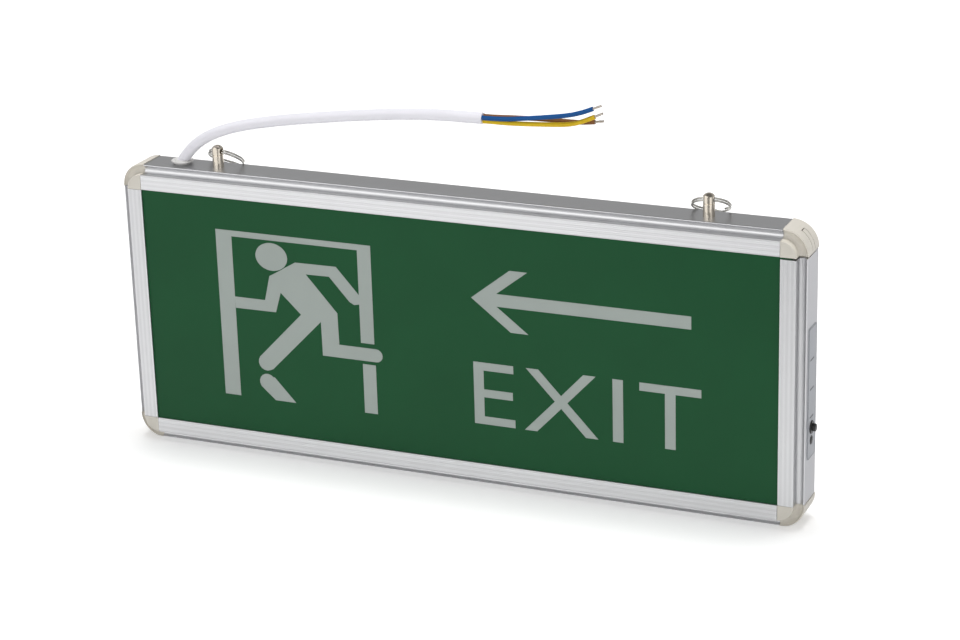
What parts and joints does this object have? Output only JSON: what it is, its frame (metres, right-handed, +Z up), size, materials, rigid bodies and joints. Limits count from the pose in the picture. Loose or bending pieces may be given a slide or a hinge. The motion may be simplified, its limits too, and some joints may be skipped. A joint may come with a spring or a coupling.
{
  "type": "emergency exit light",
  "caption": "Slim box exit light: green printed face in an aluminium frame with moulded corners, split rings on posts for hanging, and a white supply cable with bare cores.",
  "frame": {"origin": "middle of the flat underside", "axes": "+X along the sign towards the test button, +Y to the back, +Z up; the printed face looks along -Y"},
  "size_m": [0.3551, 0.0279, 0.1935],
  "materials": {
    "anodised_frame": "satin anodised, fine lengthwise lines",
    "grey_plastic": "fine satin moulded",
    "printed_panel": "smooth satin print",
    "back_panel_plastic": "smooth satin",
    "clear_acrylic": "polished clear",
    "white_film": "smooth",
    "circuit_board": "solder mask",
    "led_white": "smooth",
    "nylon": "smooth",
    "steel": "zinc plated",
    "ferrite": "matt",
    "copper_coil": "enamelled wire under tape",
    "capacitor_sleeve": "smooth sleeve",
    "block_plastic": "smooth moulded",
    "battery_sleeve": "shrink sleeve",
    "cradle_plastic": "smooth moulded",
    "side_plate_plastic": "smooth satin",
    "black_plastic": "smooth",
    "lamp_lens": "smooth, unlit",
    "nickel_plate": "nickel plated, turned",
    "ring_steel": "nickel plated wire",
    "gland_plastic": "smooth moulded",
    "cable_white": "smooth flexible jacket",
    "core_blue": "smooth insulation",
    "core_brown": "smooth insulation",
    "core_yellow": "smooth insulation, yellow with green",
    "tinned_copper": "bare strands"
  },
  "bodies": {
    "case": {"top_rail": "anodised_frame", "right_rail": "anodised_frame", "left_rail": "anodised_frame", "bottom_rail": "anodised_frame", "corner_top_right": "grey_plastic", "corner_top_left": "grey_plastic", "corner_bottom_left": "grey_plastic", "corner_bottom_right": "grey_plastic", "sign_panel": "printed_panel", "back_panel": "back_panel_plastic", "light_guide": "clear_acrylic", "reflector_sheet": "white_film", "led_board": "circuit_board", "led_chips": "led_white", "driver_board": "circuit_board", "board_spacers": "nylon", "board_screws": "steel", "transformer_core": "ferrite", "transformer_coil": "copper_coil", "driver_capacitors": "capacitor_sleeve", "terminal_block": "block_plastic", "battery_pack": "battery_sleeve", "battery_cradle": "cradle_plastic", "side_plate": "side_plate_plastic", "button_bezel": "black_plastic", "switch_body": "black_plastic", "status_lamp": "lamp_lens", "lamp_bezel": "black_plastic", "left_post": "nickel_plate", "left_post_washer": "steel", "left_post_nut": "steel", "right_post": "nickel_plate", "right_post_washer": "steel", "right_post_nut": "steel", "cable_gland": "gland_plastic", "cable_jacket": "cable_white", "core_blue": "core_blue", "core_brown": "core_brown", "core_yellow_green": "core_yellow", "bare_end_blue": "tinned_copper", "bare_end_brown": "tinned_copper", "bare_end_yellow_green": "tinned_copper", "cable_tail": "cable_white", "battery_lead": "core_brown", "switch_lead": "cable_white", "led_lead": "cable_white"},
    "left_ring": {"left_ring": "ring_steel"},
    "right_ring": {"right_ring": "ring_steel"},
    "test_button": {"test_button": "black_plastic"}
  },
  "joints": [
    {"name": "left_ring_swing", "type": "hinge", "parent": "case", "child": "left_ring", "pos_m": [-0.1266, 0, 0.1532], "axis": [0.9945, -0.1045, 0], "range_deg": [0, 85]},
    {"name": "right_ring_swing", "type": "hinge", "parent": "case", "child": "right_ring", "pos_m": [0.1266, 0, 0.1532], "axis": [0.9848, 0.1736, 0], "range_deg": [0, 246]},
    {"name": "test_button_press", "type": "slide", "parent": "case", "child": "test_button", "axis": [-1, 0, 0], "range_m": [0, 0.0008], "stiffness_N_per_m": 300}
  ]
}
